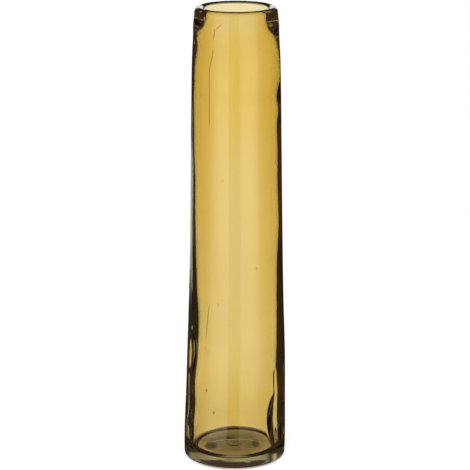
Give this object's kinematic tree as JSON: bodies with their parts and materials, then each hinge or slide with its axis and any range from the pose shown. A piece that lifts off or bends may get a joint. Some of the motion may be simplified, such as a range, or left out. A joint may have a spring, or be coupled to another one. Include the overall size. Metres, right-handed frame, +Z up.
{
  "type": "glass bud vase",
  "caption": "Tall, slim, slightly tapered hand-blown amber glass bud vase with a heavy base, a thin wall and a rounded lip, for single stems.",
  "frame": {"origin": "on the vase's axis, at the centre of the resting ring, on the surface that the vase stands on", "axes": "+Z up along the vase's axis, from the base to the mouth; +X to the right and +Y away from the viewer in the picture's view"},
  "size_m": [0.0668, 0.0668, 0.3],
  "materials": {
    "base_glass": "thick clear glass with an olive cast, smooth and glossy",
    "wall_glass": "smooth glossy blown amber glass with faint ripples and seeds",
    "lip_glass": "fire-polished amber glass, melted round and glossy"
  },
  "bodies": {
    "root": {"heavy_base": "base_glass", "blown_wall": "wall_glass", "fire_polished_lip": "lip_glass"}
  },
  "joints": []
}
